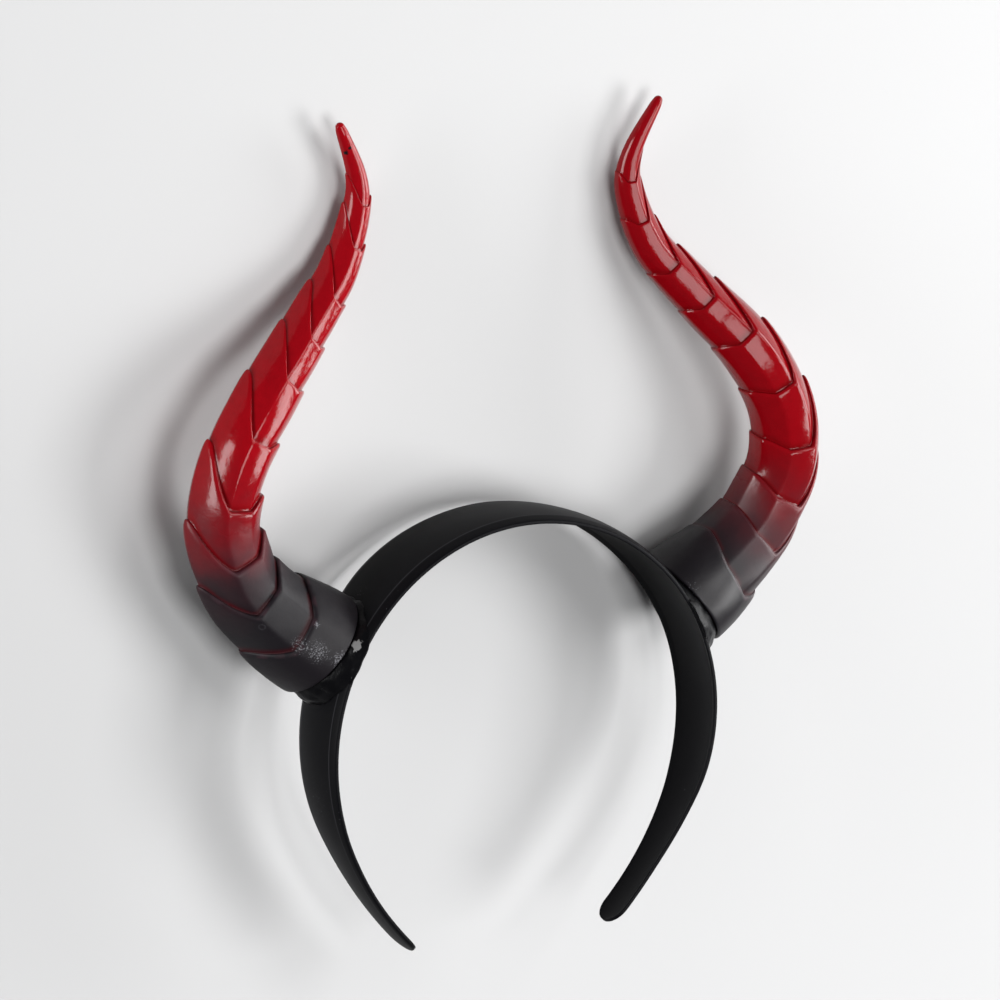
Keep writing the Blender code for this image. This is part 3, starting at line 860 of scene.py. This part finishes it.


# %% [markdown]
# The strip is black plastic with a satin skin. A mould leaves a very fine, soft grain, and the strip has some
# dust and a few hair-thin scratches. Along its creases a thin painted highlight is laid in the pale dust
# colour, brighter in some places than in others. A grain is noise in a Bump node. Dust is noise again, cut
# off so high that only scattered specks are left. Where a mark sits at one place, the pattern is kept to a
# spot there, given on the worn headband.

# %% Finish of the strip
BLACK_PLASTIC = (0.0022, 0.0022, 0.0029, 1)
# Pale colour of dust and scratches, also used for the painted highlight along the crease.
DUST_AND_CREASE_SHEEN = (0.09, 0.09, 0.10, 1)
DUSTY_PLACE = Vector((-73.6, -3.0, -16.3)) * MM
DUSTY_EDGES = (16 * MM, 2 * MM)  # no more dust than elsewhere beyond the first, most of it within the second
SCRATCHED_PLACE = Vector((-54.6, 1.5, 52.9)) * MM
SCRATCHED_EDGES = (4 * MM, 2 * MM)
STRIP_GRAIN = 0.35 * MM          # size of the mould's grain
STRIP_GRAIN_DEPTH = 0.01 * MM
STRIP_CLOUD = 22 * MM            # size of the areas that are a little duller or brighter
STRIP_ROUGH = 0.42
SPECK_SIZE = 0.55 * MM
SCRATCH_SIZE = 0.30 * MM
SCRATCH_STRETCH = (1, 0.06, 1)   # the noise is pulled out along y, into hairs


def strip_finish():
    finish = Finish("strip_plastic")
    grain = finish.noise(STRIP_GRAIN, 2)
    cloud = finish.noise(STRIP_CLOUD, 3)
    dusty = finish.distance(DUSTY_PLACE).ramp(*DUSTY_EDGES)
    specks = (finish.noise(SPECK_SIZE, 1) + dusty * 0.09).ramp(0.80, 0.84)
    scratched = finish.distance(SCRATCHED_PLACE).ramp(*SCRATCHED_EDGES)
    scratch = finish.noise(SCRATCH_SIZE, 1, stretch=SCRATCH_STRETCH).ramp(0.66, 0.74) * scratched
    # Dust specks, scratches and the painted highlight along the crease, which the crease mark places.
    marks = specks + scratch + finish.mark("crease") * (0.10 + 0.14 * cloud)
    finish.set(
        Base_Color=finish.mix(marks, BLACK_PLASTIC, DUST_AND_CREASE_SHEEN),
        Roughness=STRIP_ROUGH + 0.10 * cloud + 0.3 * marks,
        Normal=finish.bump(grain * 0.6 + cloud * 0.4, STRIP_GRAIN_DEPTH),
        Specular_IOR_Level=0.2,
        IOR=1.22,
    )
    print("strip:", len(finish.tree.nodes), "nodes")
    return finish.material


# %% [markdown]
# Each horn is moulded in one colour and sprayed: glossy red from the tip down, and satin black over the foot,
# with a soft maroon edge where the spray ends. The gun doesn't reach the corners under the lips, so dull red
# lines stay there in the black. In the red, painted shade darkens those corners. Way and relief are the marks
# that the mesh carries. The two horns were sprayed by hand, so the edge isn't at the same height, and one is
# glossier at its foot than the other.
# The gloss of the red is the shader's own; ripples in its normal fray the reflections, as on real lacquer.
# The satin of the black is the shader's second layer, the coat, which fades out into the red.

# %% Finish of the horns
RED_LEFT = (0.205, 0.0012, 0.0040, 1)
# The right horn's red is the same lacquer as the left's, darkened as painted shade.
SHADED_RED_RIGHT = (0.165, 0.0009, 0.0031, 1)
# Darker red for the random mottle, also used as painted shade in the corners under the lips.
MOTTLED_AND_SHADED_RED = (0.095, 0.0006, 0.0014, 1)
HIDDEN_RED = (0.023, 0.0034, 0.0052, 1)
BLACK_SPRAY = (0.0056, 0.0044, 0.0060, 1)
MAROON_SPRAY = (0.024, 0.0075, 0.0105, 1)
RUBBED_SPRAY = (0.026, 0.012, 0.016, 1)
SCUFF = (0.12, 0.12, 0.13, 1)
SPRAY_LEFT = (0.19, 0.42)        # of the way: all black below the first, all red above the second
SPRAY_RIGHT = (0.11, 0.36)
SPRAY_WANDER = 0.10
MAROON_SPREAD = (-0.06, 0.08)    # the black turns maroon from here to there, beside the first of those
BLACK_ROUGH = 0.48
RED_ROUGH = 0.08
GLOSS = 0.15                     # strength of the shader's own reflections, low as on thin lacquer
SATIN_LEFT = 0.03                # weight of the coat over the black
SATIN_RIGHT = 0.20
SATIN_ROUGH = 0.30
HORN_CLOUD = 14 * MM             # sizes of the patterns
HIDDEN_SIZE = 6 * MM
RUBBED_SIZE = 4 * MM
STREAK_SIZE = 0.55 * MM
MOTTLE_SIZE = 3 * MM
RIPPLE_SIZE = 5 * MM
PEEL_SIZE = 0.6 * MM
RIPPLE_DEPTH = 0.16 * MM

SCUFFED_PLACES = (
    # place on the worn headband in mm, radius in mm, strength
    (-79.4, -14.1, 37.6, 7.0, 0.16),
    (-85.0, -12.2, 40.3, 6.0, 0.14),
    (-71.5, -14.8, 34.2, 6.0, 0.16),
    (-79.4, -13.5, 46.6, 2.2, 0.20),
    (64.5, -12.2, 42.6, 7.0, 0.08),
    (63.4, -17.3, 38.5, 4.0, 0.12),
)
BLACK_SPECKS = (
    # place in mm, radius in mm
    (-58.5, 3.5, 198.8, 1.1),
    (-57.6, 2.4, 200.6, 0.7),
)
BUBBLE_PLACE = Vector((-98.1, -10.4, 47.4)) * MM
BUBBLE_INSIDE = (0.7 * MM, 1.0 * MM)   # the burst bubble's ring is full between these and the next two
BUBBLE_OUTSIDE = (1.5 * MM, 1.1 * MM)
BUBBLE_RAGGED = 1.2 * MM


# %% Lacquer and spray in one finish
def horn_finish(name, red_lacquer, spray_ends, satin):
    finish = Finish(name)
    way = finish.mark("way")
    cloud = finish.noise(HORN_CLOUD, 3)
    wandering = way + (cloud - 0.5) * SPRAY_WANDER
    relief = finish.mark("relief")
    corner = relief.ramp(0.05, 0.85)
    spray = (wandering + corner * 0.05).ramp(*spray_ends)
    hidden = corner * finish.noise(HIDDEN_SIZE, 2).ramp(0.30, 0.50)
    rubbed = relief.ramp(-0.3, -0.9) * finish.noise(RUBBED_SIZE, 2).ramp(0.4, 0.65)
    maroon = wandering.ramp(*(spray_ends[0] + edge for edge in MAROON_SPREAD))
    black = finish.mix(hidden, finish.mix(maroon, BLACK_SPRAY, MAROON_SPRAY), HIDDEN_RED)
    black = finish.mix(rubbed * 0.7, black, RUBBED_SPRAY)
    streaks = finish.noise(STREAK_SIZE, 4, 0.65, stretch=(1, 1, 0.4))
    scuffs = streaks.ramp(0.72, 0.80) * 0.4
    for *place, radius, strength in SCUFFED_PLACES:
        near = finish.distance(Vector(place) * MM).ramp(radius * MM, 0.2 * radius * MM)
        scuffs = scuffs + (streaks + strength * near).ramp(0.62, 0.80) * near
    bubble = finish.distance(BUBBLE_PLACE) + (streaks - 0.5) * BUBBLE_RAGGED
    ring = bubble.ramp(*BUBBLE_INSIDE) * bubble.ramp(*BUBBLE_OUTSIDE)
    black = finish.mix((scuffs + ring * 0.22).ramp(0.0, 1.0), black, SCUFF)
    mottle = finish.noise(MOTTLE_SIZE, 3).ramp(0.3, 0.8)
    # Random mottle darkens the red a little, and painted shade darkens it in the corners under the lips.
    red = finish.mix(mottle * 0.2 + corner * 0.5, red_lacquer, MOTTLED_AND_SHADED_RED)
    for *place, radius in BLACK_SPECKS:
        spot = finish.distance(Vector(place) * MM) + (finish.noise(0.8 * MM, 1) - 0.5) * radius * MM
        red = finish.mix(spot.ramp(radius * MM, 0.6 * radius * MM), red, BLACK_SPRAY)
    ripple = finish.noise(RIPPLE_SIZE, 2)
    peel = finish.noise(PEEL_SIZE, 2)
    finish.set(
        Base_Color=finish.mix(spray, black, red),
        Roughness=BLACK_ROUGH - (BLACK_ROUGH - RED_ROUGH) * spray.ramp(0.15, 0.8) + 0.06 * cloud,
        Specular_IOR_Level=GLOSS,
        Coat_Weight=satin * (1 - spray),
        Coat_Roughness=SATIN_ROUGH,
        Normal=finish.bump(ripple + peel * 0.12, RIPPLE_DEPTH),
    )
    print(f"{name}:", len(finish.tree.nodes), "nodes")
    return finish.material


# %% [markdown]
# Set glue is smooth and shiny, as the skin of a drop is, and here it is black. A white fleck of dry glue
# sticks to the left dab, and a few thin pale lines are painted on it as highlights.

# %% Finish of the glue
BLACK_GLUE = (0.0022, 0.0022, 0.0027, 1)
GLUE_HAZE = (0.0045, 0.0045, 0.005, 1)
# Colour of the dry white fleck, also used for the painted highlight lines.
PALE_GLUE_AND_GLINTS = (0.15, 0.15, 0.15, 1)
FLECK_PLACE = Vector((-65.6, -15.6, 38.8)) * MM
FLECK_EDGES = (2.0 * MM, 1.4 * MM)
FLECK_RAGGED = 5 * MM            # how far its edge wanders, at most
GLINT_LINE_SIZE = 0.7 * MM
GLINT_LINE_STRETCH = (1, 0.15, 1)
GLUE_CLOUD = 5 * MM
GLUE_ROUGH = 0.20
GLUE_GLOSS = 0.07
GLUE_RIPPLE = 1.1 * MM
GLUE_RIPPLE_DEPTH = 0.12 * MM


def glue_finish():
    finish = Finish("set_glue")
    cloud = finish.noise(GLUE_CLOUD, 3)
    ragged = (finish.noise(1.6 * MM, 2) - 0.5) * FLECK_RAGGED
    fleck = (finish.distance(FLECK_PLACE) + ragged).ramp(*FLECK_EDGES)
    # Thin pale lines painted on the glue as highlights.
    glint_lines = finish.noise(GLINT_LINE_SIZE, 1, stretch=GLINT_LINE_STRETCH).ramp(0.72, 0.78)
    glue = finish.mix(cloud.ramp(0.5, 0.8), BLACK_GLUE, GLUE_HAZE)
    finish.set(
        Base_Color=finish.mix((fleck + glint_lines * 0.4).ramp(0.0, 1.0), glue, PALE_GLUE_AND_GLINTS),
        Roughness=GLUE_ROUGH + 0.25 * cloud,
        Specular_IOR_Level=GLUE_GLOSS,
        Normal=finish.bump(finish.noise(GLUE_RIPPLE, 2), GLUE_RIPPLE_DEPTH),
    )
    print("glue:", len(finish.tree.nodes), "nodes")
    return finish.material


# %% [markdown]
# Each skin now gets its finish, is tied to the frame's only body, and takes the place of the plain solid.

# %% Give each piece its finish and its place in the frame
strip_plastic = strip_finish()
lacquer_left = horn_finish("horn_lacquer_left", RED_LEFT, SPRAY_LEFT, SATIN_LEFT)
# The right horn gets the darker red, which is painted shade.
lacquer_right = horn_finish("horn_lacquer_right", SHADED_RED_RIGHT, SPRAY_RIGHT, SATIN_RIGHT)
set_glue = glue_finish()
for piece, finish, node, slot in (
        (band, strip_plastic, "band", "band_plastic"),
        (horn_left, lacquer_left, "horn_left", "horn_lacquer"),
        (horn_right, lacquer_right, "horn_right", "horn_lacquer"),
        (glue_left, set_glue, "glue_left", "set_glue"),
        (glue_right, set_glue, "glue_right", "set_glue")):
    piece.data.materials.clear()
    piece.data.materials.append(finish)
    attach(piece, "root")
    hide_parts(node)

# %% [markdown]
# A glossy thing shows its lights more than its colour. A few soft panels stand round it, so that each flare
# of a scale has one streak of light, and the room behind them is dark, which keeps the red deep. A panel is
# given by the place of its middle, its size and the brightness of its face, and its power follows from
# these. The floor is pale, and larger than any view of the headband.

# %% Panels of light
PANELS = (
    # name, place of its middle, width, height, brightness; each faces the headband
    ("left", (-3.05, 0.38, 0.42), 2.15, 0.74, 20.0),
    ("right", (2.28, -0.50, 1.95), 1.50, 0.92, 18.0),
    ("low", (1.30, 0.25, 0.32), 0.90, 0.50, 13.0),
    ("top", (0.16, -0.28, 2.85), 1.25, 1.25, 12.0),
    ("back", (1.26, 1.12, 2.24), 1.40, 1.20, 8.0),
)


def add_panel(name, place, width, height, brightness):
    light = bpy.data.lights.new(f"panel_{name}", "AREA")
    light.shape = "RECTANGLE"
    light.size = width
    light.size_y = height
    light.energy = brightness * math.pi * width * height
    panel = bpy.data.objects.new(f"panel_{name}", light)
    bpy.context.scene.collection.objects.link(panel)
    panel.location = place
    panel.rotation_euler = Vector(place).to_track_quat("Z", "Y").to_euler()


for row in PANELS:
    add_panel(*row)
print(len(PANELS), "panels of light")


# %% Floor and room
FLOOR_SIZE = 14.0
FLOOR_PALE = (0.40, 0.40, 0.40, 1)
FLOOR_SHADE = (0.385, 0.385, 0.388, 1)
FLOOR_CLOUD = 0.4
FLOOR_ROUGH = 0.7
ROOM_GREY = (0.11, 0.11, 0.115, 1)


def floor_finish():
    finish = Finish("pale_floor")
    cloud = finish.noise(FLOOR_CLOUD, 3)
    finish.set(Base_Color=finish.mix(cloud, FLOOR_PALE, FLOOR_SHADE), Roughness=FLOOR_ROUGH)
    return finish.material


half = FLOOR_SIZE / 2
floor_mesh = bpy.data.meshes.new("floor")
corners = [(-half, -half, 0), (half, -half, 0), (half, half, 0), (-half, half, 0)]
floor_mesh.from_pydata(corners, [], [(0, 1, 2, 3)])
floor = bpy.data.objects.new("floor", floor_mesh)
floor.data.materials.append(floor_finish())
bpy.context.scene.collection.objects.link(floor)
world = bpy.data.worlds.new("room")
world.use_nodes = True
world.node_tree.nodes["Background"].inputs["Color"].default_value = ROOM_GREY
bpy.context.scene.world = world
bpy.context.scene.view_settings.view_transform = "Standard"
print("floor:", FLOOR_SIZE, "m wide")
